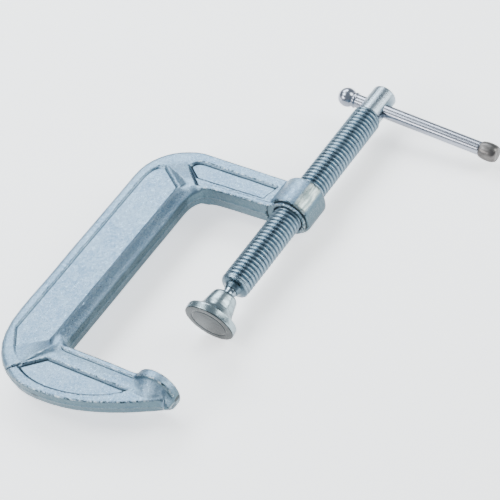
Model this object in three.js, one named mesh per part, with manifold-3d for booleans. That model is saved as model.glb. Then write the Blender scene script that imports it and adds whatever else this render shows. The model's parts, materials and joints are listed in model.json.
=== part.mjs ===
// C clamp: a cast frame with a tapped boss, a screw turned by a sliding bar, and a swivel pad.
// Millimetres. X runs from the spine out to the open side, Y along the screw from the anvil to the
// handle, and Z through the thickness of the frame. The origin is the middle of the anvil's face.
import * as THREE from 'three';
import { mergeVertices } from 'three/addons/utils/BufferGeometryUtils.js';
import { ConvexGeometry } from 'three/addons/geometries/ConvexGeometry.js';
import { ParametricGeometry } from 'three/addons/geometries/ParametricGeometry.js';
import Module from 'manifold-3d';

const wasm = await Module();
wasm.setup();

// Screw thread, half inch with thirteen turns to the inch
const pitch = 25.4 / 13;
const screwRadius = 6.35;
const rootRadius = 5.25;
const threadClearance = 0.36;
const threadSides = 12;
const threadCorners = [0, 0.16, 0.5, 0.66];

// Spindle, from its flared end up to its plain head
const spindleEnd = 53;
const shoulderTop = 57.2;
const headStart = 161.4;
const headEnd = 175.6;
const headRadius = 5.55;

// Swivel stud and pad
const ballHeight = 46.2;
const ballRadius = 4;
const neckRadius = 2.4;
const studTop = 62.3;
const runningGap = 0.3;
const padRadius = 11.1;
const padRise = 10.2; // from the pad's face to the middle of the ball
const padTilt = 10; // degrees about X, as far as the pad's own weight tips it
const mouthRadius = 3.3;

// Sliding bar
const barHeight = 167.2;
const barRadius = 2.98;
const barHoleRadius = 3.3;
const barTilt = THREE.MathUtils.degToRad(6.18);
const knobRadius = 4.18;
const leftKnob = -13.5;
const rightKnob = 54.9;
const capRadius = 3.95;
const capHalfLength = 3.9;
const spigotRadius = 2.4;

// Frame, seen in plan
const spineOuter = -74;
const spineInner = -44;
const armOuter = 113;
const armInner = 94.6;
const lowerArmInner = -1.1;
const lowerArmOuter = -24.6;
const outerCorner = 22;
const throatCorner = 11;
const ribWidth = 6.5;

// Frame, half thicknesses of its ribs, rim and web
const ribHalf = 5.2;
const rimHalf = 3.4;
const webHalf = 2.2;

// Boss and anvil
const bossRadius = 9.7;
const bossBottom = 97.4;
const bossTop = 112;
const bossFlat = 8.9;
const collarRadius = 8.3;
const collarBottom = 96;
const anvilRadius = 9.6;
const anvilOffset = 1.5;
const anvilThickness = 3.8;
const anvilFoot = -9.2;
const tipEnd = 10.9;
const tipHalf = 4.4;

// Turns a closed geometry into a solid whose faces look outwards.
function solid(geometry) {
  const bare = geometry.clone();
  bare.deleteAttribute('normal');
  bare.deleteAttribute('uv');
  const merged = mergeVertices(bare, 1e-4);
  const corners = merged.attributes.position.array;
  const triangles = [];
  let volume = 0;
  const [a, b, c] = [new THREE.Vector3(), new THREE.Vector3(), new THREE.Vector3()];
  for (let i = 0; i < merged.index.count; i += 3) {
    const [p, q, r] = [0, 1, 2].map((k) => merged.index.getX(i + k));
    if (p === q || q === r || r === p) continue;
    triangles.push(p, q, r);
    a.fromArray(corners, 3 * p);
    b.fromArray(corners, 3 * q);
    c.fromArray(corners, 3 * r);
    volume += a.dot(b.cross(c));
  }
  if (volume < 0) triangles.reverse();
  return new wasm.Manifold(new wasm.Mesh({
    numProp: 3,
    vertProperties: corners,
    triVerts: Uint32Array.from(triangles),
  }));
}

// Makes a named mesh out of a solid.
function piece(name, body, colour, roughness, metalness) {
  const { vertProperties, triVerts } = body.getMesh();
  const geometry = new THREE.BufferGeometry();
  geometry.setAttribute('position', new THREE.BufferAttribute(vertProperties, 3));
  geometry.setIndex(new THREE.BufferAttribute(triVerts, 1));
  geometry.computeVertexNormals();
  const material = new THREE.MeshStandardMaterial({ color: colour, roughness, metalness });
  const mesh = new THREE.Mesh(geometry, material);
  mesh.name = name;
  return mesh;
}

// A solid of revolution about the screw's axis, from [radius, height] pairs.
function turned(profile, sides = 36) {
  const points = profile.map(([radius, height]) => new THREE.Vector2(radius, height));
  return solid(new THREE.LatheGeometry(points, sides));
}

// Points of an arc in a turned profile, about a centre on the axis.
function arcPoints(centre, radius, fromAngle, toAngle, steps) {
  return Array.from({ length: steps + 1 }, (_, i) => {
    const angle = THREE.MathUtils.lerp(fromAngle, toAngle, i / steps);
    return [radius * Math.cos(angle), centre + radius * Math.sin(angle)];
  });
}

// A plate of the given half thickness, with its edges bevelled.
function plate(shape, half, bevel) {
  const geometry = new THREE.ExtrudeGeometry(shape, {
    depth: 2 * (half - bevel),
    bevelEnabled: bevel > 0,
    bevelThickness: bevel,
    bevelSize: bevel,
    bevelOffset: -bevel,
    bevelSegments: 2,
    curveSegments: 8,
  });
  return solid(geometry.translate(0, 0, bevel - half));
}

// Cutters above and below the web, tapered towards it as a mould needs.
function pockets(shape, floor, taper) {
  const geometry = new THREE.ExtrudeGeometry(shape, {
    depth: 2 * ribHalf,
    bevelEnabled: true,
    bevelThickness: taper,
    bevelSize: taper,
    bevelOffset: -taper,
    bevelSegments: 1,
    curveSegments: 8,
  }).translate(0, 0, floor + taper);
  return solid(geometry).add(solid(geometry.clone().scale(1, 1, -1)));
}

// A corner rib, the same above and below the web: the convex body around [x, y, half thickness] points.
function gusset(corners) {
  const points = corners.flatMap(([x, y, half]) => [new THREE.Vector3(x, y, half), new THREE.Vector3(x, y, -half)]);
  return solid(new ConvexGeometry(points));
}

// A rod with a right-hand thread. Each turn has four corners: crest, crest, root, root.
function threadedRod(crest, root, start, turns) {
  const radii = [root, crest, crest, root];
  const rows = 4 * turns;
  const surface = (u, v, point) => {
    const row = Math.round(v * rows);
    const turn = row / 4 + u;
    if (turn <= 1.001 || turn >= turns - 0.001) {
      return point.set(0, start + pitch * (turn <= 1.001 ? 1 : turns), 0);
    }
    const angle = 2 * Math.PI * u;
    const radius = radii[row % 4];
    const height = start + pitch * (Math.floor(row / 4) + threadCorners[row % 4] + u);
    return point.set(radius * Math.cos(angle), height, -radius * Math.sin(angle));
  };
  return solid(new ParametricGeometry(surface, threadSides, rows));
}

function frameOutline() {
  const shape = new THREE.Shape();
  shape.moveTo(8, -7.8);
  shape.bezierCurveTo(-8, -17, -22, lowerArmOuter, -43, lowerArmOuter);
  shape.bezierCurveTo(-58, lowerArmOuter, spineOuter, -16, spineOuter, 8);
  shape.lineTo(spineOuter, armOuter - outerCorner);
  shape.absarc(spineOuter + outerCorner, armOuter - outerCorner, outerCorner, Math.PI, Math.PI / 2, true);
  shape.lineTo(-6, armOuter);
  shape.lineTo(-6, armInner + 0.8);
  throatEdge(shape);
  return shape;
}

// The throat's edge, from the boss round to the anvil.
function throatEdge(shape) {
  shape.lineTo(spineInner + throatCorner, armInner);
  shape.quadraticCurveTo(spineInner, armInner, spineInner, armInner - throatCorner);
  shape.lineTo(spineInner, lowerArmInner + 4);
  shape.quadraticCurveTo(spineInner, lowerArmInner, spineInner + 4, lowerArmInner);
  shape.lineTo(8, lowerArmInner);
}

function throatRib() {
  const shape = new THREE.Shape();
  shape.moveTo(-6, armInner + 0.8);
  throatEdge(shape);
  shape.lineTo(8, lowerArmInner - 2.6);
  shape.lineTo(spineInner - 3, lowerArmInner - 2.6);
  shape.quadraticCurveTo(spineInner - ribWidth, lowerArmInner - 2, spineInner - ribWidth, lowerArmInner + 3);
  shape.lineTo(spineInner - ribWidth, armInner - throatCorner);
  shape.quadraticCurveTo(spineInner - ribWidth, armInner + 2, spineInner + throatCorner, armInner + 2.9);
  shape.lineTo(-6, armInner + 3.4);
  return shape;
}

function spinePocket() {
  const shape = new THREE.Shape();
  shape.moveTo(-51.5, 0);
  shape.lineTo(-51.5, 91.5);
  shape.lineTo(-62.8, 99.3);
  shape.quadraticCurveTo(-68.6, 99, -69, 90);
  shape.lineTo(-69, -1);
  shape.lineTo(-63, -9);
  return shape;
}

function upperArmPocket() {
  const shape = new THREE.Shape();
  shape.moveTo(-47, 99.2);
  shape.lineTo(-14, 100);
  shape.lineTo(-11.5, 108);
  shape.lineTo(-48, 108.2);
  shape.quadraticCurveTo(-53, 108, -53.5, 104);
  return shape;
}

function crescentPocket() {
  const shape = new THREE.Shape();
  shape.moveTo(-46.8, -8.6);
  shape.lineTo(-7, -8.8);
  shape.bezierCurveTo(-14, -16.4, -27, -20.9, -40, -21.2);
  shape.quadraticCurveTo(-50, -21, -56, -17);
  return shape;
}

function boss() {
  const barrel = turned([
    [0, bossBottom], [bossRadius - 0.8, bossBottom], [bossRadius, bossBottom + 0.8],
    [bossRadius, bossTop - 1.2], [bossRadius - 1.2, bossTop], [0, bossTop],
  ], 48);
  const flat = new THREE.BoxGeometry(10, 40, 30).translate(bossFlat + 5, bossTop - 10, 0);
  const collar = turned([
    [0, collarBottom], [collarRadius - 0.4, collarBottom], [collarRadius, collarBottom + 0.4],
    [collarRadius, bossBottom + 1], [0, bossBottom + 1],
  ], 48);
  return barrel.subtract(solid(flat)).add(collar);
}

// The anvil's disc, the cone under it, and the blunt end of the arm that carries them.
function anvil() {
  const disc = turned([
    [0, anvilFoot], [anvilRadius - 4.4, anvilFoot], [anvilRadius - 1.1, -anvilThickness],
    [anvilRadius, -anvilThickness], [anvilRadius, -0.5], [anvilRadius - 0.5, 0], [0, 0],
  ]);
  const tip = new THREE.Shape([
    new THREE.Vector2(0, -1.2), new THREE.Vector2(0, -8), new THREE.Vector2(tipEnd - 1.5, anvilFoot),
    new THREE.Vector2(tipEnd, anvilFoot + 1.2), new THREE.Vector2(tipEnd, -1.2),
  ]);
  return disc.translate([anvilOffset, 0, 0]).add(plate(tip, tipHalf, 0.8));
}

// The tapped hole, with a countersink at each end.
function tapping() {
  const firstTurn = -10;
  const crest = screwRadius + threadClearance;
  const root = rootRadius + threadClearance;
  const start = spindleEnd + pitch * (Math.round((collarBottom - spindleEnd) / pitch) + firstTurn);
  const thread = threadedRod(crest, root, start, 30);
  const bottom = turned([
    [0, collarBottom - 5], [crest + 0.4, collarBottom - 5], [crest + 0.4, collarBottom],
    [root, collarBottom + 1.4], [0, collarBottom + 1.4],
  ]);
  const top = turned([
    [0, bossTop - 1], [root, bossTop - 1], [crest + 0.5, bossTop + 0.1], [crest + 0.5, bossTop + 5],
    [0, bossTop + 5],
  ]);
  return thread.add(bottom).add(top);
}

function frame() {
  const upperGusset = [
    [-47.6, 97.4, ribHalf], [-50.9, 95.4, ribHalf], [-54.6, 104.3, rimHalf + 0.1], [-62.4, 100.4, rimHalf + 0.1],
    [-52.3, 92.1, webHalf + 0.4], [-63.1, 99.5, webHalf + 0.4],
  ];
  const lowerGusset = [
    [-47.3, -2.8, ribHalf], [-55, -15, rimHalf], [-59, -19.4, rimHalf - 0.1], [-51.3, 0, webHalf + 0.4],
    [-63.1, -9, webHalf + 0.4], [-46.9, -9, webHalf - 0.1], [-52.5, -14, webHalf - 0.1],
  ];
  return plate(frameOutline(), rimHalf, 0.9)
    .add(plate(throatRib(), ribHalf, 1.2))
    .subtract(pockets(spinePocket(), webHalf + 0.5, 0.8))
    .subtract(pockets(upperArmPocket(), webHalf, 0.8))
    .subtract(pockets(crescentPocket(), webHalf, 0.8))
    .add(gusset(upperGusset))
    .add(gusset(lowerGusset))
    .add(boss())
    .add(anvil())
    .subtract(tapping());
}

function spindle() {
  const threadTurns = Math.ceil((headStart - spindleEnd) / pitch) + 4;
  const rod = threadedRod(screwRadius, rootRadius, spindleEnd - 2 * pitch, threadTurns);
  const envelope = turned([
    [0, spindleEnd], [3.1, spindleEnd], [3.3, spindleEnd + 1], [4.1, spindleEnd + 1.9],
    [5.1, spindleEnd + 2.4], [6, spindleEnd + 3.2], [screwRadius + 0.1, shoulderTop],
    [screwRadius + 0.1, headStart - 0.8], [rootRadius - 0.2, headStart + 0.4], [0, headStart + 0.4],
  ]);
  const head = turned([
    [0, headStart - 3], [rootRadius - 0.3, headStart - 3], [headRadius, headStart],
    [headRadius, headEnd - 0.7], [headRadius - 0.7, headEnd], [0, headEnd],
  ]);
  const studBore = turned([
    [0, spindleEnd - 1], [neckRadius + runningGap, spindleEnd - 1],
    [neckRadius + runningGap, studTop + runningGap], [0, studTop + runningGap],
  ], 24);
  const barHole = new THREE.CylinderGeometry(barHoleRadius, barHoleRadius, 30, 24);
  barHole.rotateZ(Math.PI / 2).rotateY(barTilt).translate(0, barHeight, 0);
  return rod.intersect(envelope).add(head).subtract(studBore).subtract(solid(barHole));
}

function swivelStud() {
  const neckAngle = Math.acos(neckRadius / ballRadius);
  return turned([
    [0, ballHeight - ballRadius],
    ...arcPoints(ballHeight, ballRadius, -0.42 * Math.PI, neckAngle, 10),
    [neckRadius, studTop], [0, studTop],
  ], 24);
}

// Turned about the ball, then tipped as it hangs.
function swivelPad() {
  const socketRadius = ballRadius + runningGap;
  const mouthAngle = Math.acos(mouthRadius / socketRadius);
  const outside = [
    [0, 0], [padRadius - 0.4, 0], [padRadius, 0.4], [padRadius, 3], [padRadius - 0.4, 3.4], [9.4, 3.7],
    [8.1, 4.5], [7.2, 5.8], [6.6, 7.4], [6.2, 9.4], [5.8, 11.4], [5.3, 13.2], [4.6, 14], [3.6, 14.2],
  ].map(([radius, rise]) => [radius, rise - padRise]);
  return turned([
    ...outside,
    ...arcPoints(0, socketRadius, mouthAngle, -0.42 * Math.PI, 10),
    [0, -socketRadius],
  ]).rotate([padTilt, 0, 0]).translate([0, ballHeight, 0]);
}

// Solids of the bar are turned about the screw's axis, then laid along the bar.
function alongBar(body) {
  return body.rotate([0, 0, -90]).rotate([0, THREE.MathUtils.radToDeg(barTilt), 0]).translate([0, barHeight, 0]);
}

function tommyBar() {
  const collarStart = leftKnob + 3.2;
  const spigotStart = rightKnob - capHalfLength + runningGap;
  return alongBar(turned([
    [0, leftKnob - knobRadius],
    ...arcPoints(leftKnob, knobRadius, -0.42 * Math.PI, 0.25 * Math.PI, 8),
    [3.1, collarStart], [3.5, collarStart + 0.3], [3.5, collarStart + 1], [barRadius, collarStart + 1.2],
    [barRadius, rightKnob - capHalfLength - runningGap], [spigotRadius, spigotStart],
    [spigotRadius, rightKnob + 1], [0, rightKnob + 1],
  ], 24));
}

function barEndCap() {
  const boreRadius = spigotRadius + runningGap;
  return alongBar(turned([
    [boreRadius, rightKnob - capHalfLength], [3.3, rightKnob - capHalfLength],
    [capRadius - 0.3, rightKnob - 3], [capRadius, rightKnob - 1.4], [capRadius, rightKnob + 1.4],
    [capRadius - 0.3, rightKnob + 3], [3.2, rightKnob + capHalfLength], [0, rightKnob + capHalfLength],
    [0, rightKnob + 1 + runningGap], [boreRadius, rightKnob + 1 + runningGap],
    [boreRadius, rightKnob - capHalfLength],
  ], 24));
}

const clamp = new THREE.Group();
clamp.add(
  piece('frame', frame(), 0xa9bdc9, 0.42, 0.85),
  piece('spindle', spindle(), 0x8fa3ae, 0.28, 1),
  piece('swivel_stud', swivelStud(), 0x93a5af, 0.25, 1),
  piece('swivel_pad', swivelPad(), 0x9aacb4, 0.3, 1),
  piece('tommy_bar', tommyBar(), 0xa3adb5, 0.22, 1),
  piece('bar_end_cap', barEndCap(), 0x8d8b89, 0.45, 1),
);

export default clamp;
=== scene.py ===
"""C clamp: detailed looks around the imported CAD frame.

Shapes are worked out in millimetres, in the frame's own axes: X from the spine to the open side,
Y along the screw from the anvil to the handle, Z through the thickness of the casting.
"""
import json
import math

import bpy
import numpy as np
from mathutils import Matrix, Vector


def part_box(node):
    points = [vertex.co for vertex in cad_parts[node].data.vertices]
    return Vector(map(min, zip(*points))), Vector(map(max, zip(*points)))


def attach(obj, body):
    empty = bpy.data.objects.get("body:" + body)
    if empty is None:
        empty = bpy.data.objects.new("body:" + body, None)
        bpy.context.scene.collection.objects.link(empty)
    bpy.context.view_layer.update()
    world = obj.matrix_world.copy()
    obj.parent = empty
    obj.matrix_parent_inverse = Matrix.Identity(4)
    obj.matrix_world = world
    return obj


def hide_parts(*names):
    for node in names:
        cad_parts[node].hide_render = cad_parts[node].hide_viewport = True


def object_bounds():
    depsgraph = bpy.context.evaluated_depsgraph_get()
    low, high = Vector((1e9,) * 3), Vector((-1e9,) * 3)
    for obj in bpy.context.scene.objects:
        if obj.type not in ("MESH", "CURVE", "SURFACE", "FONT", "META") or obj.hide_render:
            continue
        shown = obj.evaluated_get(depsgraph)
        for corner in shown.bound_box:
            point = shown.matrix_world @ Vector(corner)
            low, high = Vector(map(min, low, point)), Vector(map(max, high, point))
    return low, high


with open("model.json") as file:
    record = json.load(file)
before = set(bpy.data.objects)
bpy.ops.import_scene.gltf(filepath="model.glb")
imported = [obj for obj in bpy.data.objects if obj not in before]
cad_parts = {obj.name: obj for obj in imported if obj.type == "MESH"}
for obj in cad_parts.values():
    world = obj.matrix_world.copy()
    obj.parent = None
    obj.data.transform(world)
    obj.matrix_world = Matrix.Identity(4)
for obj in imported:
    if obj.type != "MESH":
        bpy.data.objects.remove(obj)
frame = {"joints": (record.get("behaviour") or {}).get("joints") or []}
cad_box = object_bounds()

MM = 0.001


def box_mm(node):
    """Lowest and highest corner of a CAD node, in millimetres."""
    low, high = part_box(node)
    return np.array(low) / MM, np.array(high) / MM


FRAME_LOW, FRAME_HIGH = box_mm("frame")
SPINDLE_LOW, SPINDLE_HIGH = box_mm("spindle")
PAD_HIGH = box_mm("swivel_pad")[1]
STUD_LOW, STUD_HIGH = box_mm("swivel_stud")
BAR_LOW, BAR_HIGH = box_mm("tommy_bar")
BAR_JOINT = next(joint for joint in frame["joints"] if joint["name"] == "bar_slide")

# Camera, fitted to the photograph: degrees, and lengths in millimetres
CAMERA_ANGLES = (43.47, 45.37, -14.76)
CAMERA_TARGET = (-5.09, 75.35, 0)
CAMERA_DISTANCE = 916.4
SENSOR_WIDTH = 36
FOCAL_LENGTH = 162.63

# Floor and lights, in metres
FLOOR_HALF = 3.0
FLOOR_GAP = 0.0002
LIT_POINT = (-0.02, 0.07, 0)

# Frame, seen in plan
SPINE_OUTER = FRAME_LOW[0]
SPINE_INNER = SPINE_OUTER + 30
ARM_OUTER = FRAME_HIGH[1]
ARM_INNER = ARM_OUTER - 18.4
LOWER_INNER = -1.1
LOWER_OUTER = FRAME_LOW[1]
OUTER_CORNER = 22
THROAT_CORNER = 11
LOWER_CORNER = 4
UPPER_ARM_END = -6
LOWER_ARM_END = 8

# Frame, half thicknesses
RIB = 5.2
RIM = 3.4
WEB = 2.2
SPINE_WEB = WEB + 0.5

# Ribs beside the throat, as distances in from its edge
FLAT_WIDTH = 2.4
BEAD_CREST = 4.6
BEAD_THROAT_HALF = 5.6
BEAD_WEB_HALF = 3.5
BAND_END = 7.3
FOOT_GROOVE = 7.9
CREASE_BLEND = 0.3

# Boss and anvil
BOSS_RADIUS = FRAME_HIGH[2]
BOSS_TOP = ARM_OUTER - 1
BOSS_BOTTOM = ARM_OUTER - 15.6
BOSS_FLAT = 8.9
COLLAR_RADIUS = 8.3
COLLAR_BOTTOM = BOSS_BOTTOM - 1.4
SPOT_RADIUS = 9.9
BORE_RADIUS = 6.6
BORE_REACH = 12
ANVIL_RADIUS = 9.7
ANVIL_X = 1.4
ANVIL_THICKNESS = 3.8
ANVIL_FOOT = -9.2
NOSE_END = 10.9
NOSE_HALF = 4.4

# Screw
PITCH = 25.4 / 13
SCREW_RADIUS = SPINDLE_HIGH[0]
THREAD_DEPTH = 0.9
THREADED_ABOVE = 5.8
SPINDLE_END = SPINDLE_LOW[1]
HEAD_END = SPINDLE_HIGH[1]
HEAD_START = HEAD_END - 14.2
HEAD_RADIUS = 5.55
RUNOUT_START = HEAD_START - 1.6
RUNOUT_END = HEAD_START + 0.3
BAR_HEIGHT = (BAR_LOW[1] + BAR_HIGH[1]) / 2
BAR_HOLE = 3.3

# Stud, pad and bar
BALL_RADIUS = STUD_HIGH[0]
BALL_HEIGHT = STUD_LOW[1] + BALL_RADIUS
PAD_RADIUS = PAD_HIGH[0]
PAD_RISE = 10.2
PAD_TILT = math.radians(10)
NECK_RADIUS = 2.4
SOCKET_RADIUS = BALL_RADIUS + 0.3
MOUTH_RADIUS = 3.35
BAR_RADIUS = 2.98
KNOB_RADIUS = (BAR_HIGH[1] - BAR_LOW[1]) / 2
COLLAR_END_RADIUS = 3.45
SMALL_FILLET = 0.3
LEFT_KNOB = -13.5
RIGHT_KNOB = 54.9
CAP_RADIUS = 3.95
CAP_HALF = 3.9
SPIGOT_RADIUS = 2.4


# ---------------------------------------------------------------- camera, light and stage

def add_camera():
    """The photograph's camera, from azimuth, elevation and roll."""
    azimuth, elevation, roll = map(math.radians, CAMERA_ANGLES)
    back = Vector((math.sin(azimuth) * math.cos(elevation),
                   -math.cos(azimuth) * math.cos(elevation),
                   math.sin(elevation)))
    right = Vector((math.cos(azimuth), math.sin(azimuth), 0))
    up = back.cross(right)
    turned_right = right * math.cos(roll) + up * math.sin(roll)
    turned_up = up * math.cos(roll) - right * math.sin(roll)
    target = Vector(CAMERA_TARGET) * MM
    place = Matrix((turned_right, turned_up, back)).transposed().to_4x4()
    place.translation = target + back * CAMERA_DISTANCE * MM
    data = bpy.data.cameras.new("camera")
    data.sensor_width = SENSOR_WIDTH
    data.lens = FOCAL_LENGTH
    data.clip_start = 0.05
    camera = bpy.data.objects.new("camera", data)
    camera.matrix_world = place
    bpy.context.collection.objects.link(camera)
    bpy.context.scene.camera = camera


def add_area_light(name, place, size, power, colour):
    """A soft rectangular light. Its place is from the middle of the clamp, which it faces."""
    data = bpy.data.lights.new(name, "AREA")
    data.shape = "RECTANGLE"
    data.size, data.size_y = size
    data.energy = power
    data.color = colour
    light = bpy.data.objects.new(name, data)
    light.location = Vector(LIT_POINT) + Vector(place)
    light.rotation_euler = (-Vector(place)).to_track_quat("-Z", "Y").to_euler()
    bpy.context.collection.objects.link(light)


def add_light():
    """A pale blue surround and four softboxes."""
    world = bpy.data.worlds.new("studio")
    world.use_nodes = True
    background = world.node_tree.nodes["Background"]
    background.inputs["Color"].default_value = (0.8, 0.9, 1.0, 1)
    background.inputs["Strength"].default_value = 0.45
    bpy.context.scene.world = world
    add_area_light("back_softbox", (-0.48, 0.51, 0.71), (0.7, 0.5), 10, (0.88, 0.95, 1.0))
    add_area_light("overhead_softbox", (-0.48, -0.16, 0.86), (0.5, 0.5), 7, (0.9, 0.97, 1.0))
    add_area_light("right_softbox", (0.7, 0.5, 0.5), (0.5, 0.8), 9, (0.96, 1.0, 0.99))
    add_area_light("front_strip", (-0.5, -0.75, 0.5), (0.7, 0.25), 6, (1.0, 1.0, 1.0))


def add_floor():
    """The white ground that the clamp lies on."""
    mesh = bpy.data.meshes.new("floor")
    half = FLOOR_HALF
    level = float(cad_box[0][2]) - FLOOR_GAP
    corners = [(-half, -half, level), (half, -half, level), (half, half, level), (-half, half, level)]
    mesh.from_pydata(corners, [], [(0, 1, 2, 3)])
    floor = bpy.data.objects.new("floor", mesh)
    bpy.context.collection.objects.link(floor)
    material = bpy.data.materials.new("floor")
    material.use_nodes = True
    shader = material.node_tree.nodes["Principled BSDF"]
    shader.inputs["Base Color"].default_value = (0.97, 0.97, 0.97, 1)
    shader.inputs["Roughness"].default_value = 0.9
    shader.inputs["Specular IOR Level"].default_value = 0.1
    shader.inputs["Emission Color"].default_value = (1, 1, 1, 1)
    shader.inputs["Emission Strength"].default_value = 1.1
    mesh.materials.append(material)


# ---------------------------------------------------------------- plan curves

def bezier(a, b, c, d, steps=10):
    """Points of a cubic curve, without its first one."""
    t = np.linspace(0, 1, steps + 1)[1:, None]
    a, b, c, d = map(np.array, (a, b, c, d))
    points = (1 - t) ** 3 * a + 3 * (1 - t) ** 2 * t * b + 3 * (1 - t) * t ** 2 * c + t ** 3 * d
    return [tuple(point) for point in points]


def corner(a, control, b, steps=8):
    """Points of a rounded corner, without its first one."""
    thirds = [tuple(np.array(end) + (np.array(control) - np.array(end)) * 2 / 3) for end in (a, b)]
    return bezier(a, thirds[0], thirds[1], b, steps)


def arc(centre, radius, from_angle, to_angle, steps=10):
    """Points of a circle between two angles in degrees."""
    angles = np.radians(np.linspace(from_angle, to_angle, steps + 1))
    return [(centre[0] + radius * math.cos(angle), centre[1] + radius * math.sin(angle))
            for angle in angles]


def throat_line():
    """The throat's edge, from the boss round to the anvil."""
    upper_start = (SPINE_INNER + THROAT_CORNER, ARM_INNER)
    upper_end = (SPINE_INNER, ARM_INNER - THROAT_CORNER)
    lower_start = (SPINE_INNER, LOWER_INNER + LOWER_CORNER)
    lower_end = (SPINE_INNER + LOWER_CORNER, LOWER_INNER)
    return ([(UPPER_ARM_END, ARM_INNER + 0.8), upper_start]
            + corner(upper_start, (SPINE_INNER, ARM_INNER), upper_end)
            + [lower_start] + corner(lower_start, (SPINE_INNER, LOWER_INNER), lower_end)
            + [(LOWER_ARM_END, LOWER_INNER)])


def outer_line():
    """The outer edge, from the tip of the lower arm round to the boss."""
    tip = (LOWER_ARM_END, -7.8)
    bottom = (-43, LOWER_OUTER)
    side = (SPINE_OUTER, 8)
    return ([tip] + bezier(tip, (-8, -17), (-22, LOWER_OUTER), bottom)
            + bezier(bottom, (-58, LOWER_OUTER), (SPINE_OUTER, -16), side)
            + arc((SPINE_OUTER + OUTER_CORNER, ARM_OUTER - OUTER_CORNER), OUTER_CORNER, 180, 90)
            + [(UPPER_ARM_END, ARM_OUTER)])


# Outlines in plan of the pockets and of the anvil's keel, and the lines of two small casting notches
SPINE_POCKET = ([(-51.5, 0), (-51.5, 91.5), (-63, 99.4)] + corner((-63, 99.4), (-68.6, 99), (-69, 90))
                + [(-69, -1), (-63, -10), (-56.5, -15.5), (-47.8, -3)])
UPPER_POCKET = ([(-47, 99.2), (-14, 100), (-11.5, 108), (-48, 108.2)]
                + corner((-48, 108.2), (-53, 108), (-53.5, 104)))
CRESCENT_POCKET = ([(-46.8, -8.6), (-7, -8.8)]
                   + bezier((-7, -8.8), (-14, -16.4), (-27, -20.9), (-40, -21.2))
                   + corner((-40, -21.2), (-50, -21), (-56, -17)))
LOWER_NOTCH = [(-55.2, -15.6), (-57.4, -18.4), (-59.4, -19.8)]
UPPER_NOTCH = [(-63.4, 99.6), (-66.2, 98.9)]
NOSE = [(-9, LOWER_INNER), (-9, -8.7), (6, -8.6), (NOSE_END - 1.5, ANVIL_FOOT + 0.1),
        (NOSE_END, ANVIL_FOOT + 1.2), (NOSE_END, LOWER_INNER)]


# ---------------------------------------------------------------- signed distances

def smooth_max(a, b, blend):
    """The larger of two values, rounded where they come within the blend of each other."""
    overlap = np.maximum(blend - np.abs(a - b), 0) / blend
    return np.maximum(a, b) + overlap * overlap * blend / 4


def smooth_min(a, b, blend):
    """The smaller of two values, rounded where they come within the blend of each other."""
    return -smooth_max(-a, -b, blend)


def ramp(value, start, end):
    """0 before start, 1 after end, and smooth between them."""
    t = np.clip((value - start) / (end - start), 0, 1)
    return t * t * (3 - 2 * t)


def line_distance(x, y, points):
    """Distance in plan to an open line."""
    nearest = np.full(np.broadcast(x, y).shape, 1e9)
    for (ax, ay), (bx, by) in zip(points, points[1:]):
        ex, ey = bx - ax, by - ay
        along = np.clip(((x - ax) * ex + (y - ay) * ey) / (ex * ex + ey * ey), 0, 1)
        nearest = np.minimum(nearest, (x - ax - ex * along) ** 2 + (y - ay - ey * along) ** 2)
    return np.sqrt(nearest)


def outline_distance(x, y, points):
    """Signed distance in plan to a closed outline, negative inside it."""
    closed = list(points) + [points[0]]
    inside = np.zeros(np.broadcast(x, y).shape, bool)
    for (ax, ay), (bx, by) in zip(closed, closed[1:]):
        if ay != by:
            inside ^= ((ay > y) != (by > y)) & (x < ax + (bx - ax) * (y - ay) / (by - ay))
    distance = line_distance(x, y, closed)
    return np.where(inside, -distance, distance)


def ripple(x, y, z, scale, seed):
    """Slow unevenness of a sand casting, between about -1 and 1. The scale is in millimetres."""
    phases = np.random.default_rng(seed).uniform(0, 6.28, 6)
    broad = np.sin(x / scale + phases[0]) * np.cos(y / scale * 1.13 + phases[1])
    slanting = np.sin((x + y) / scale * 0.71 + phases[2] + z / scale)
    fine = 0.6 * np.sin(y / scale * 2.3 + phases[3]) * np.sin(x / scale * 1.9 + phases[4] + z / scale)
    return (broad + slanting + fine) / 2.6


# ---------------------------------------------------------------- the casting

def plane(x, y, a, b, c):
    """Height over the plan of the plane through three (x, y, height) points."""
    normal = np.cross(np.subtract(b, a), np.subtract(c, a))
    return a[2] - ((x - a[0]) * normal[0] + (y - a[1]) * normal[1]) / normal[2]


def side_of(x, y, start, end):
    """Signed distance in plan to an endless line, positive on its left."""
    length = math.hypot(end[0] - start[0], end[1] - start[1])
    return ((end[0] - start[0]) * (y - start[1]) - (end[1] - start[1]) * (x - start[0])) / length


def falling_face(x, y, crest, base, low):
    """Height of a face that fans out from a crest, two (x, y, height) points, to a lower base line."""
    start, end = crest
    run = np.subtract(end, start)
    along = ((x - start[0]) * run[0] + (y - start[1]) * run[1]) / (run[0] ** 2 + run[1] ** 2)
    top = start[2] + run[2] * np.clip(along, -0.2, 1.3)
    from_base = side_of(x, y, *base) * np.sign(side_of(start[0], start[1], *base))
    from_crest = np.abs(side_of(x, y, start, end))
    share = from_crest / (from_crest + np.maximum(from_base, 0.01))
    return np.where(from_base > 0, top + (low - top) * share, low + 2 * from_base)


def upper_gusset(x, y):
    """A flat-topped rib across the throat's upper corner."""
    top = plane(x, y, (-47.6, 97.4, RIB - 0.1), (-62.4, 100.4, RIM + 0.2), (-54.6, 104.3, RIM + 0.2))
    spine_side = plane(x, y, (-50.9, 95.4, RIB), (-52.3, 92.1, SPINE_WEB), (-63.1, 99.5, SPINE_WEB))
    arm_side = plane(x, y, (-47.6, 97.4, RIB), (-54.6, 104.3, RIM + 0.2), (-47.9, 99.9, WEB))
    return np.minimum(np.minimum(top, spine_side), arm_side)


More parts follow.
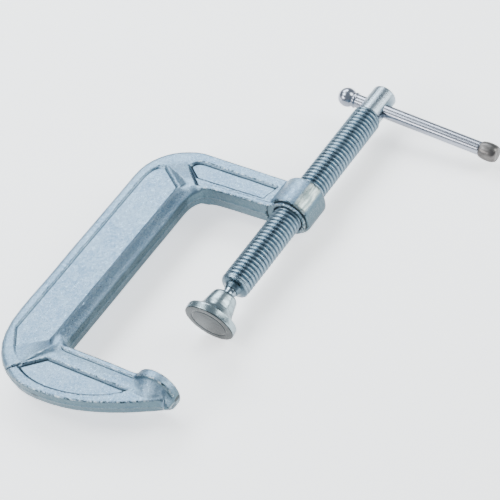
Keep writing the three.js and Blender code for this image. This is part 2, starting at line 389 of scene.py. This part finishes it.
def lower_gusset(x, y):
    """A sharp-crested rib across the throat's lower corner."""
    crest = ((-47.3, -2.8, RIB - 0.1), (-55, -15, RIM + 0.1))
    spine_side = falling_face(x, y, crest, ((-51.3, 0), (-63.1, -9)), SPINE_WEB)
    arm_side = falling_face(x, y, crest, ((-46.9, -9.2), (-55, -15.2)), WEB)
    return np.where(side_of(x, y, *(point[:2] for point in crest)) < 0, spine_side, arm_side)


def casting_height(x, y):
    """Half thickness of the casting over the plan."""
    height = RIM + 0.0 * x + 0.0 * y
    for outline, floor in ((SPINE_POCKET, SPINE_WEB), (UPPER_POCKET, WEB), (CRESCENT_POCKET, WEB)):
        depth = ramp(-outline_distance(x, y, outline), -0.45, 0.75)
        height = height - (height - floor) * depth
    inward = line_distance(x, y, THROAT)

    # A rounded bead on the spine, a flat rib on the upper arm and a stepped, sloping band on the lower one
    on_lower_arm = ramp(0.8 * (x - SPINE_INNER) - (y - LOWER_INNER), -1, 3)
    on_upper_arm = ramp((y - ARM_INNER) + 0.9 * (x - SPINE_INNER), -1, 4)
    on_spine = (1 - on_lower_arm) * (1 - on_upper_arm)
    bead_half = np.where(inward < BEAD_CREST, BEAD_THROAT_HALF, BEAD_WEB_HALF)
    bead = RIB * np.sqrt(np.clip(1 - np.abs((inward - BEAD_CREST) / bead_half) ** 2.2, 0, 1))
    past_flat = np.maximum(inward - FLAT_WIDTH, 0)
    flat_rib = RIB - 3 * past_flat
    step_down = 0.5 * ramp(inward, FLAT_WIDTH - 0.1, FLAT_WIDTH + 0.2)
    sloped_band = RIB - step_down - 0.42 * past_flat - 3 * np.maximum(inward - BAND_END, 0)
    rib = on_spine * bead + on_upper_arm * flat_rib + on_lower_arm * sloped_band
    height = smooth_max(height, rib, CREASE_BLEND)

    groove = 0.35 * np.exp(-((inward - FOOT_GROOVE) / 0.4) ** 2)
    height = height - groove * ramp(y, 1, 4) * (1 - ramp(y, 88, 92))
    near_throat = 3 + 0.6 * inward
    for gusset in (upper_gusset, lower_gusset):
        height = smooth_max(height, np.minimum(gusset(x, y), near_throat), CREASE_BLEND)
    height = np.minimum(height, RIB)
    for notch, depth in ((LOWER_NOTCH, 0.7), (UPPER_NOTCH, 0.4)):
        height = height - depth * np.exp(-(line_distance(x, y, notch) / 0.4) ** 2)
    return height


def boss_distance(x, y, z):
    """The tapped boss: a rounded barrel with a flat side, over a narrower collar behind a groove."""
    radius = np.sqrt(x * x + z * z)
    middle = (BOSS_TOP + BOSS_BOTTOM) / 2
    half = (BOSS_TOP - BOSS_BOTTOM) / 2
    barrel = smooth_max(radius - BOSS_RADIUS, np.abs(y - middle) - half, 1.8)
    barrel = smooth_max(barrel, x - BOSS_FLAT, 0.7)
    collar = smooth_max(radius - COLLAR_RADIUS, COLLAR_BOTTOM - y, 0.6)
    collar = np.maximum(collar, y - middle)
    groove = 0.45 - np.hypot(radius - COLLAR_RADIUS - 0.2, y - BOSS_BOTTOM)
    return np.maximum(np.minimum(barrel, collar), groove)


def lug_distance(x, y, z):
    """The anvil's disc, with a smaller cone stepped in beneath it."""
    from_anvil = np.sqrt((x - ANVIL_X) ** 2 + z * z)
    disc = smooth_max(from_anvil - ANVIL_RADIUS, -ANVIL_THICKNESS - y, 0.7)
    disc = smooth_max(disc, y, 0.7)
    depth = np.minimum(y + ANVIL_THICKNESS, 0)
    cone = smooth_max((from_anvil - ANVIL_RADIUS + 1.4 - 1.1 * depth) * 0.7, ANVIL_FOOT - y, 1.2)
    cone = np.maximum(cone, y + 1)
    return disc, cone


def casting(x, y, z):
    """Signed distance of the whole casting, roughly, in millimetres."""
    plan = outline_distance(x, y, OUTLINE)
    flash = 0.22 * np.exp(-(z / 0.35) ** 2)
    plan = plan + 0.05 * np.abs(z) - flash + 0.12 * ripple(x, y, z, 5.0, 1)
    height = casting_height(x, y) + 0.05 * ripple(x, y, z, 4.0, 2)
    outer_round = 0.8 + 1.8 * ramp(-x, -SPINE_INNER + 6, -SPINE_INNER + 16)
    body = smooth_max(plan, np.abs(z) - height, outer_round)
    body = smooth_min(body, boss_distance(x, y, z), 1.2)
    disc, cone = lug_distance(x, y, z)
    keel = outline_distance(x, y, NOSE)
    keel = keel + 0.85 * (np.sqrt(z * z + 1) - 1) * ramp(x, 1, 9)
    keel_half = NOSE_HALF + 0.6 - 0.14 * (LOWER_INNER - y) - 0.1 * np.maximum(-x, 0)
    keel = smooth_max(keel, np.abs(z) - keel_half, 0.8)
    body = smooth_min(smooth_min(body, keel, 0.8), cone, 2.4)
    body = smooth_min(body, disc, 0.5)

    radius = np.sqrt(x * x + z * z)
    below = COLLAR_BOTTOM - BORE_REACH - y
    spot_face = np.maximum(np.maximum(radius - SPOT_RADIUS, y - COLLAR_BOTTOM), below)
    countersink = np.maximum(0, np.maximum(y - BOSS_TOP + 0.8, COLLAR_BOTTOM + 0.5 - y))
    bore = np.maximum(radius - BORE_RADIUS - countersink, below)
    return np.maximum(np.maximum(body, -spot_face), -bore)


THROAT = throat_line()
OUTLINE = outer_line() + THROAT


# ---------------------------------------------------------------- meshes

def new_piece(name, vertices, faces, body, nodes, attributes=()):
    """A mesh object from millimetre vertices, which rides on a body and stands for CAD nodes.

    The attributes are (name, value of each vertex) pairs, which the materials read.
    """
    mesh = bpy.data.meshes.new(name)
    mesh.from_pydata((np.asarray(vertices) * MM).tolist(), [], [tuple(map(int, face)) for face in faces])
    mesh.validate()
    for label, values in attributes:
        layer = mesh.attributes.new(label, "FLOAT", "POINT")
        layer.data.foreach_set("value", np.asarray(values, dtype=np.float32))
    mesh.shade_smooth()
    piece = bpy.data.objects.new(name, mesh)
    bpy.context.collection.objects.link(piece)
    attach(piece, body)
    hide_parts(*nodes)
    return piece


def surface_net(field, low, high, step):
    """Vertices and four-sided faces where a field crosses zero."""
    axes = [np.arange(start, end + step, step) for start, end in zip(low, high)]
    values = field(axes[0][:, None, None], axes[1][None, :, None], axes[2][None, None, :])
    values = np.where(values == 0, 1e-6, values).astype(np.float32)
    cells = tuple(size - 1 for size in values.shape)
    total = np.zeros(cells + (3,), np.float32)
    count = np.zeros(cells, np.float32)
    crossings = []
    for axis in range(3):
        first = np.take(values, range(values.shape[axis] - 1), axis)
        second = np.take(values, range(1, values.shape[axis]), axis)
        crossed = (first < 0) != (second < 0)
        share = np.where(crossed, first / np.where(crossed, first - second, 1), 0)
        crossings.append((crossed, first < 0))
        others = [other for other in range(3) if other != axis]
        for p in (0, 1):
            for q in (0, 1):
                window = [slice(None)] * 3
                window[others[0]] = slice(p, p + cells[others[0]])
                window[others[1]] = slice(q, q + cells[others[1]])
                window = tuple(window)
                total[..., axis] += share[window]
                total[..., others[0]] += p * crossed[window]
                total[..., others[1]] += q * crossed[window]
                count += crossed[window]
    used = count > 0
    index = np.full(cells, -1, np.int64)
    index[used] = np.arange(used.sum())
    corners = np.argwhere(used) + total[used] / count[used][:, None]
    vertices = corners * step + np.array(low)
    faces = []
    for axis, (crossed, outwards) in enumerate(crossings):
        p, q = [(1, 2), (2, 0), (0, 1)][axis]
        spot = np.argwhere(crossed)
        spot = spot[(spot[:, p] > 0) & (spot[:, q] > 0)]
        spot = spot[(spot[:, p] < cells[p]) & (spot[:, q] < cells[q])]
        ring = []
        for dp, dq in ((-1, -1), (0, -1), (0, 0), (-1, 0)):
            cell = spot.copy()
            cell[:, p] += dp
            cell[:, q] += dq
            ring.append(index[tuple(cell.T)])
        quads = np.stack(ring, 1)
        forward = outwards[tuple(spot.T)]
        faces.append(np.where(forward[:, None], quads, quads[:, ::-1]))
    return vertices, np.concatenate(faces)


def gradient(field, points, reach):
    """Slope of a field at each point."""
    columns = []
    for axis in range(3):
        offset = np.zeros(3)
        offset[axis] = reach
        ahead = field(*(points + offset).T)
        behind = field(*(points - offset).T)
        columns.append((ahead - behind) / (2 * reach))
    return np.stack(columns, 1)


def settle_on(field, points, rounds=2, longest=0.25):
    """Moves points onto the field's zero surface."""
    for _ in range(rounds):
        slope = gradient(field, points, 0.04)
        steepness = np.maximum((slope ** 2).sum(1), 0.05)
        move = -slope * (field(*points.T) / steepness)[:, None]
        length = np.maximum(np.linalg.norm(move, axis=1), 1e-9)
        points = points + move * np.minimum(1, longest / length)[:, None]
    return points


def sharpness(field, points, reach=0.5):
    """How strongly the surface bends: above 0 on an outer edge, below 0 in an inner corner."""
    offsets = np.repeat(np.eye(3), 2, axis=0) * np.tile((reach, -reach), 3)[:, None]
    around = sum(field(*(points + offset).T) for offset in offsets)
    slope = np.linalg.norm(gradient(field, points, 0.1), axis=1)
    return around / np.maximum(slope, 0.3) / reach


def filleted(profile, radius, steps=4):
    """A profile whose inner corners are rounded, as far as its sides allow."""
    points = [np.array(point, float) for point in profile]
    rounded = [points[0]]
    for before, here, after in zip(points, points[1:], points[2:]):
        reach = min(radius, np.linalg.norm(here - before) / 2.01, np.linalg.norm(after - here) / 2.01)
        start = here + (before - here) / max(np.linalg.norm(before - here), 1e-9) * reach
        end = here + (after - here) / max(np.linalg.norm(after - here), 1e-9) * reach
        rounded.append(start)
        rounded += [np.array(point) for point in corner(start, here, end, steps)]
    return rounded + [points[-1]]


def turned(profile, sides=96, radius_at=None):
    """Vertices and faces turned about Y from (radius, height) points, of which the end ones lie on it.

    radius_at, where given, changes the radii by height and angle.
    """
    rows = len(profile)
    angles = np.arange(sides) * 2 * math.pi / sides
    radii = np.array([point[0] for point in profile])[1:-1, None] + 0 * angles
    heights = np.array([point[1] for point in profile])[1:-1, None] + 0 * angles
    if radius_at is not None:
        radii = radius_at(radii, heights, angles)
    rings = np.stack([radii * np.cos(angles), heights, -radii * np.sin(angles)], 2).reshape(-1, 3)
    vertices = np.concatenate([[[0, profile[0][1], 0]], rings, [[0, profile[-1][1], 0]]])
    last = len(vertices) - 1
    faces = []
    for side in range(sides):
        beside = (side + 1) % sides
        faces.append((0, 1 + beside, 1 + side))
        faces.append((last, last - sides + side, last - sides + beside))
    for row in range(rows - 3):
        for side in range(sides):
            beside = (side + 1) % sides
            low, high = 1 + row * sides, 1 + (row + 1) * sides
            faces.append((low + side, low + beside, high + beside, high + side))
    return vertices, faces


def ball_points(centre, radius, from_angle, to_angle, steps=16):
    """Profile points of a ball on the axis, between two angles in degrees."""
    return arc((0, centre), radius, from_angle, to_angle, steps)


def along_bar(vertices):
    """Lays millimetre vertices that were turned about Y along the sliding bar."""
    direction = Vector(BAR_JOINT["axis"])
    side = Vector((0, 1, 0)).cross(direction)
    basis = np.array([direction, (0, 1, 0), side])
    return vertices[:, [1, 0, 2]] * (1, 1, -1) @ basis + np.array([0, BAR_HEIGHT, 0])


# ---------------------------------------------------------------- pieces

def frame_piece():
    """The casting, kept inside the CAD frame's box."""
    step = 0.45
    margin = 1.5
    vertices, faces = surface_net(casting, FRAME_LOW - margin, FRAME_HIGH + margin, step)
    vertices = settle_on(casting, vertices)
    vertices = np.clip(vertices, FRAME_LOW, FRAME_HIGH)
    # bend: below 0 in inner corners, where the material paints near-black shade, and above 0 on outer
    # edges, where it marks wear
    bend = sharpness(casting, vertices)
    # side: how steep the surface is; the material darkens steep faces with it as painted shade
    slope = gradient(casting, vertices, 0.3)
    side = 1 - np.abs(slope[:, 2]) / np.maximum(np.linalg.norm(slope, axis=1), 0.01)
    x, y, z = vertices.T
    on_bead = (ramp(x, -52.5, -51) * (1 - ramp(x, SPINE_INNER - 0.5, SPINE_INNER + 0.5))
               * ramp(y, 0, 6) * (1 - ramp(y, 84, 92)))
    around = np.degrees(np.arctan2(x, np.abs(z)))
    ground = (ramp(around, 20, 26) * (1 - ramp(around, 54, 60)) * ramp(y, BOSS_BOTTOM, BOSS_BOTTOM + 1)
              * (np.hypot(x, z) > BOSS_RADIUS - 1.5))
    attributes = [("bend", bend), ("side", side), ("bead", on_bead), ("ground", ground)]
    piece = new_piece("cast_frame", vertices, faces, "frame", ["frame"], attributes)
    piece.data.materials.append(cast_zinc())
    return piece


def thread_profile(phase):
    """Depth of a rolled thread below its crest, from 0 to 1, over one turn."""
    return ramp(np.abs((phase % 1) - 0.5) * 2, 0.2, 0.86)


def spindle_piece():
    """The screw: a socket for the stud's neck, a flared end, the thread and the cross-drilled head."""
    thread_start = SPINDLE_END + 3.4
    thread_end = HEAD_START + 0.4
    rows_per_turn = 14
    rows = int((thread_end - thread_start) / PITCH * rows_per_turn)
    thread_rows = [(SCREW_RADIUS, height) for height in np.linspace(thread_start, thread_end, rows)]
    socket_end = SPINDLE_END + 9.6
    socket_radius = NECK_RADIUS + 0.3
    lower = filleted([(0, socket_end), (socket_radius, socket_end), (socket_radius, SPINDLE_END),
                      (3.1, SPINDLE_END), (3.3, SPINDLE_END + 1),
                      (4.1, SPINDLE_END + 1.9), (5.2, SPINDLE_END + 2.2),
                      (6.1, SPINDLE_END + 2.7), (SCREW_RADIUS, thread_start)], 0.7)
    upper = filleted([(HEAD_RADIUS, HEAD_START + 0.8), (HEAD_RADIUS, HEAD_END), (0, HEAD_END)], 0.9, 6)
    profile = lower[:-1] + thread_rows + upper

    def radius_at(radii, heights, angles):
        run_in = ramp(heights, SPINDLE_END + 2.4, thread_start + 1.5)
        run_out = ramp(heights, RUNOUT_START, RUNOUT_END)
        wide = radii > THREADED_ABOVE
        depth = THREAD_DEPTH * thread_profile(heights / PITCH - angles / (2 * math.pi))
        threaded = run_in * (1 - run_out) * wide
        narrowing = (SCREW_RADIUS - HEAD_RADIUS) * run_out * wide
        return radii - depth * threaded - narrowing

    vertices, faces = turned(profile, 72, radius_at)
    # crest: 1 on the thread's crests and 0 in its roots; the material paints highlights on the crests and
    # shade on the flanks with it
    from_axis = np.hypot(vertices[:, 0], vertices[:, 2])
    crest = np.clip((from_axis - SCREW_RADIUS + THREAD_DEPTH) / THREAD_DEPTH, 0, 1)
    head = ramp(vertices[:, 1], HEAD_START - 0.5, HEAD_START + 0.3)
    piece = new_piece("screw_spindle", vertices, faces, "spindle", ["spindle"],
                      [("crest", crest), ("head", head)])
    hole_half = 20
    hole = [(0, -hole_half), (BAR_HOLE, -hole_half), (BAR_HOLE, hole_half), (0, hole_half)]
    hole_vertices, hole_faces = turned(hole, 64)
    cut_with(piece, along_bar(hole_vertices), hole_faces)
    piece.data.materials.append(rolled_screw())
    return piece


def cut_with(piece, vertices, faces):
    """Cuts a closed shape out of a piece."""
    mesh = bpy.data.meshes.new("cutter")
    mesh.from_pydata((vertices * MM).tolist(), [], faces)
    cutter = bpy.data.objects.new("cutter", mesh)
    bpy.context.collection.objects.link(cutter)
    modifier = piece.modifiers.new("hole", "BOOLEAN")
    modifier.object = cutter
    modifier.operation = "DIFFERENCE"
    modifier.solver = "EXACT"
    evaluated = piece.evaluated_get(bpy.context.evaluated_depsgraph_get())
    result = bpy.data.meshes.new_from_object(evaluated)
    piece.modifiers.clear()
    piece.data = result
    bpy.data.objects.remove(cutter)


def stud_piece():
    """The ball inside the pad, and the neck that joins it to the screw."""
    neck_angle = math.degrees(math.acos(NECK_RADIUS / BALL_RADIUS))
    ball = ball_points(BALL_HEIGHT, BALL_RADIUS, -86, neck_angle - 6)
    neck = [(NECK_RADIUS, BALL_HEIGHT + 3.25), (NECK_RADIUS - 0.05, BALL_HEIGHT + 4.2),
            (NECK_RADIUS + 0.05, SPINDLE_END - 1.3), (NECK_RADIUS + 0.55, SPINDLE_END - 0.15),
            (NECK_RADIUS, SPINDLE_END - 0.1), (NECK_RADIUS, STUD_HIGH[1]), (0, STUD_HIGH[1])]
    profile = [(0, BALL_HEIGHT - BALL_RADIUS)] + ball + filleted(neck, SMALL_FILLET)
    vertices, faces = turned(profile, 48)
    piece = new_piece("ball_stud", vertices, faces, "swivel_stud", ["swivel_stud"])
    piece.data.materials.append(turned_steel("bright_stud", (0.3, 0.38, 0.44), 0.16))
    return piece


def pad_piece():
    """The pad, turned about the ball and then tipped as it hangs."""
    face_height = BALL_HEIGHT - PAD_RISE
    outside = [(0, 0), (7.4, 0), (7.6, 0.14), (8.0, 0.14), (8.2, 0), (PAD_RADIUS - 0.35, 0),
               (PAD_RADIUS, 0.35), (PAD_RADIUS, 3.0), (PAD_RADIUS - 0.4, 3.4), (9.4, 3.7), (8.0, 4.5),
               (7.2, 5.8), (6.6, 7.4), (6.2, 9.4), (5.75, 11.4), (5.3, 13.1), (4.6, 13.9), (3.9, 14.2),
               (MOUTH_RADIUS, 13.6)]
    outside = [(radius, face_height + rise) for radius, rise in outside]
    mouth_angle = math.degrees(math.acos(MOUTH_RADIUS / SOCKET_RADIUS))
    socket = ball_points(BALL_HEIGHT, SOCKET_RADIUS, mouth_angle, -86)
    profile = filleted(outside, 0.4) + socket + [(0, BALL_HEIGHT - SOCKET_RADIUS)]
    vertices, faces = turned(profile, 96)
    # Painted shade: the pad's flat face is marked here and darkened in the material
    painted_shade_face = vertices[:, 1] < face_height + 0.2
    tip = np.array(Matrix.Rotation(PAD_TILT, 3, "X"))
    middle = np.array([0, BALL_HEIGHT, 0])
    vertices = (vertices - middle) @ tip.T + middle
    piece = new_piece("pad", vertices, faces, "swivel_pad", ["swivel_pad"], [("painted_shade_face", painted_shade_face)])
    piece.data.materials.append(turned_steel("turned_pad", (0.3, 0.375, 0.405), 0.2))
    return piece


def bar_piece():
    """The sliding bar: a ball and a small collar at its left end, and the cap's spigot at its right."""
    collar = LEFT_KNOB + 3.3
    cap_start = RIGHT_KNOB - CAP_HALF
    shank_start = collar + 2
    shank_end = cap_start - 1
    knob = [(0, LEFT_KNOB - KNOB_RADIUS)] + ball_points(LEFT_KNOB, KNOB_RADIUS, -84, 46)
    collar_side = filleted([(2.95, collar), (COLLAR_END_RADIUS, collar + 0.25),
                            (COLLAR_END_RADIUS, collar + 1), (BAR_RADIUS, collar + 1.25),
                            (BAR_RADIUS, shank_start)], SMALL_FILLET)
    shank = [(BAR_RADIUS, place) for place in np.linspace(shank_start, shank_end, 60)[1:-1]]
    spigot = filleted([(BAR_RADIUS, shank_end), (BAR_RADIUS, cap_start - 0.3),
                       (SPIGOT_RADIUS, cap_start + 0.3), (SPIGOT_RADIUS, RIGHT_KNOB + 1),
                       (0, RIGHT_KNOB + 1)], SMALL_FILLET)
    vertices, faces = turned(knob + collar_side + shank + spigot, 96)
    piece = new_piece("bar", along_bar(vertices), faces, "tommy_bar", ["tommy_bar"])
    steel = turned_steel("drawn_bar", (0.33, 0.345, 0.4), 0.2, (0.05, 0.8, 0.8), 0.000005)
    piece.data.materials.append(steel)
    return piece


def cap_piece():
    """The duller, barrel-shaped cap on the bar's right end."""
    bore_radius = SPIGOT_RADIUS + 0.3
    bore_end = RIGHT_KNOB + 1.3
    cap_start = RIGHT_KNOB - CAP_HALF
    cap_end = RIGHT_KNOB + CAP_HALF
    profile = filleted([(0, bore_end), (bore_radius, bore_end), (bore_radius, cap_start), (3.3, cap_start),
                        (CAP_RADIUS - 0.3, RIGHT_KNOB - 2.9), (CAP_RADIUS, RIGHT_KNOB - 1.2),
                        (CAP_RADIUS, RIGHT_KNOB + 1.2), (CAP_RADIUS - 0.3, RIGHT_KNOB + 2.8),
                        (3.0, cap_end), (0, cap_end)], 0.8)
    vertices, faces = turned(profile, 64)
    piece = new_piece("bar_cap", along_bar(vertices), faces, "tommy_bar", ["bar_end_cap"])
    piece.data.materials.append(turned_steel("dull_cap", (0.15, 0.14, 0.135), 0.34))
    return piece


# ---------------------------------------------------------------- materials

class Nodes:
    """A material's node tree, with short ways to add to it."""

    # The colour sockets of a Mix node, whose names it shares with its other kinds
    MIX_FIRST = 6
    MIX_SECOND = 7
    MIX_RESULT = 2

    def __init__(self, name):
        self.material = bpy.data.materials.new(name)
        self.material.use_nodes = True
        self.tree = self.material.node_tree
        self.shader = self.tree.nodes["Principled BSDF"]
        self.place = self.tree.nodes.new("ShaderNodeTexCoord").outputs["Object"]

    def link(self, output, socket):
        self.tree.links.new(output, socket)

    def noise(self, scale, detail=4, roughness=0.6, stretch=(1, 1, 1)):
        """Noise from 0 to 1. Scale is in waves to the metre, and stretch multiplies it along each axis."""
        mapping = self.tree.nodes.new("ShaderNodeMapping")
        mapping.inputs["Scale"].default_value = stretch
        self.link(self.place, mapping.inputs["Vector"])
        node = self.tree.nodes.new("ShaderNodeTexNoise")
        node.inputs["Scale"].default_value = scale
        node.inputs["Detail"].default_value = detail
        node.inputs["Roughness"].default_value = roughness
        self.link(mapping.outputs["Vector"], node.inputs["Vector"])
        return node.outputs["Fac"]

    def attribute(self, name):
        """A number stored on the mesh's vertices, or 0 where the mesh has none of that name."""
        node = self.tree.nodes.new("ShaderNodeAttribute")
        node.attribute_name = name
        return node.outputs["Fac"]

    def limits(self, value, low, high, to_low=0.0, to_high=1.0):
        """Maps low..high smoothly to to_low..to_high, and holds it there outside."""
        node = self.tree.nodes.new("ShaderNodeMapRange")
        node.interpolation_type = "SMOOTHSTEP"
        numbers = {"From Min": low, "From Max": high, "To Min": to_low, "To Max": to_high}
        for socket, number in numbers.items():
            node.inputs[socket].default_value = number
        self.link(value, node.inputs["Value"])
        return node.outputs["Result"]

    def times(self, first, second):
        """The product of a node's output with a number or with another output."""
        node = self.tree.nodes.new("ShaderNodeMath")
        node.operation = "MULTIPLY"
        self.link(first, node.inputs[0])
        if isinstance(second, float):
            node.inputs[1].default_value = second
        else:
            self.link(second, node.inputs[1])
        return node.outputs[0]

    def mix(self, amount, first, second):
        """Blends two colours, each a tuple or another node's output."""
        node = self.tree.nodes.new("ShaderNodeMix")
        node.data_type = "RGBA"
        self.link(amount, node.inputs["Factor"])
        for number, colour in ((self.MIX_FIRST, first), (self.MIX_SECOND, second)):
            if isinstance(colour, tuple):
                node.inputs[number].default_value = colour + (1,)
            else:
                self.link(colour, node.inputs[number])
        return node.outputs[self.MIX_RESULT]

    def bump(self, height, distance, strength, below=None):
        """A bump of so many metres, on top of another one where it is given."""
        node = self.tree.nodes.new("ShaderNodeBump")
        node.inputs["Distance"].default_value = distance
        node.inputs["Strength"].default_value = strength
        self.link(height, node.inputs["Height"])
        if below is not None:
            self.link(below, node.inputs["Normal"])
        return node.outputs["Normal"]

    def finish(self, colour, roughness, normal, metallic):
        self.link(colour, self.shader.inputs["Base Color"])
        self.link(roughness, self.shader.inputs["Roughness"])
        self.link(normal, self.shader.inputs["Normal"])
        self.shader.inputs["Metallic"].default_value = metallic
        return self.material


def cast_zinc():
    """Zinc plating over a sand casting: grainy, satin and bright on rubbed edges, with painted shade on
    steep sides and in inner corners.
    """
    nodes = Nodes("cast_zinc")
    bend = nodes.attribute("bend")
    side = nodes.attribute("side")
    patches = nodes.noise(90, 3)
    mottle = nodes.noise(900, 5, 0.75)
    pits = nodes.noise(2300, 3, 0.7)
    flecks = nodes.noise(700, 5, 0.8)

    # Colour of the plating and of its pits, then painted shade on its steep sides and darker painted shade
    # in its inner corners
    colour = nodes.mix(nodes.limits(patches, 0.35, 0.65), (0.14, 0.23, 0.33), (0.185, 0.28, 0.375))
    colour = nodes.mix(nodes.limits(mottle, 0.42, 0.64, 0.0, 0.7), colour, (0.29, 0.4, 0.5))
    colour = nodes.mix(nodes.limits(pits, 0.53, 0.64, 0.0, 0.7), colour, (0.05, 0.085, 0.11))
    # Painted shade: the steeper the face, the darker its colour
    colour = nodes.mix(nodes.limits(side, 0.2, 0.8, 0.0, 0.8), colour, (0.06, 0.1, 0.115))
    # Painted shade: inner corners and creases darkened nearly to black
    colour = nodes.mix(nodes.limits(bend, -0.15, -0.8, 0.0, 0.93), colour, (0.012, 0.02, 0.025))

    # Outer edges, rubbed bright in places and chipped dark in others
    rubbed = nodes.times(nodes.limits(bend, 0.35, 0.9), nodes.limits(flecks, 0.52, 0.6))
    colour = nodes.mix(nodes.times(rubbed, 0.6), colour, (0.75, 0.8, 0.82))
    chipped = nodes.times(nodes.limits(bend, 0.3, 0.7), nodes.limits(flecks, 0.49, 0.42))
    colour = nodes.mix(chipped, colour, (0.03, 0.045, 0.05))

    # The boss where a grinder has cleaned it
    streaks = nodes.limits(nodes.noise(1500, 3, 0.6, (0.3, 0.15, 1)), 0.35, 0.65)
    ground = nodes.mix(streaks, (0.2, 0.26, 0.26), (0.5, 0.57, 0.55))
    colour = nodes.mix(nodes.attribute("ground"), colour, ground)

    roughness = nodes.limits(mottle, 0.3, 0.7, 0.4, 0.26)
    grain = nodes.bump(nodes.noise(520, 4, 0.7), 0.00025, 0.7)
    lumps = nodes.limits(nodes.noise(1100, 5, 0.75), 0.38, 0.62)
    grain = nodes.bump(nodes.times(lumps, nodes.attribute("bead")), 0.0006, 1.0, grain)
    normal = nodes.bump(pits, 0.00014, 0.8, grain)
    return nodes.finish(colour, roughness, normal, 0.9)


def rolled_screw():
    """Zinc-plated rolled thread with a polished head, with painted highlights on the crests and painted
    shade on the flanks.
    """
    nodes = Nodes("rolled_screw")
    crest = nodes.attribute("crest")
    smears = nodes.noise(260, 4, 0.6, (1, 0.35, 1))
    # Painted light: lighter crests as highlights, darker flanks and roots as shade
    colour = nodes.mix(nodes.limits(crest, 0.0, 0.9), (0.1, 0.145, 0.18), (0.2, 0.275, 0.335))
    colour = nodes.mix(nodes.limits(smears, 0.5, 0.8, 0.0, 0.5), colour, (0.11, 0.17, 0.22))
    colour = nodes.mix(nodes.attribute("head"), colour, (0.3, 0.36, 0.41))
    roughness = nodes.limits(smears, 0.3, 0.7, 0.22, 0.34)
    normal = nodes.bump(nodes.noise(1800, 3, 0.6, (1, 4, 1)), 0.00008, 0.6)
    return nodes.finish(colour, roughness, normal, 1.0)


def turned_steel(name, base, gloss, stretch=(1, 3, 1), depth=0.00002):
    """Turned or drawn steel, with slight stains and fine lines, darkened to a painted shade where the mesh
    marks a shaded face.

    The lines lie along the axes where stretch is small. The gloss is the roughness between the stains.
    """
    nodes = Nodes(name)
    stains = nodes.noise(220, 2, 0.5, stretch)
    fine = nodes.noise(2400, 3, 0.6, stretch)
    darker = tuple(value * 0.65 for value in base)
    colour = nodes.mix(nodes.limits(stains, 0.4, 0.7), base, darker)
    # Painted shade: the marked face takes 8 % of the base colour
    colour = nodes.mix(nodes.attribute("painted_shade_face"), colour, tuple(value * 0.08 for value in base))
    roughness = nodes.limits(stains, 0.3, 0.75, gloss, gloss + 0.14)
    normal = nodes.bump(fine, depth, 0.5)
    return nodes.finish(colour, roughness, normal, 1.0)


# ---------------------------------------------------------------- put together

add_camera()
add_light()
add_floor()
frame_piece()
spindle_piece()
stud_piece()
pad_piece()
bar_piece()
cap_piece()
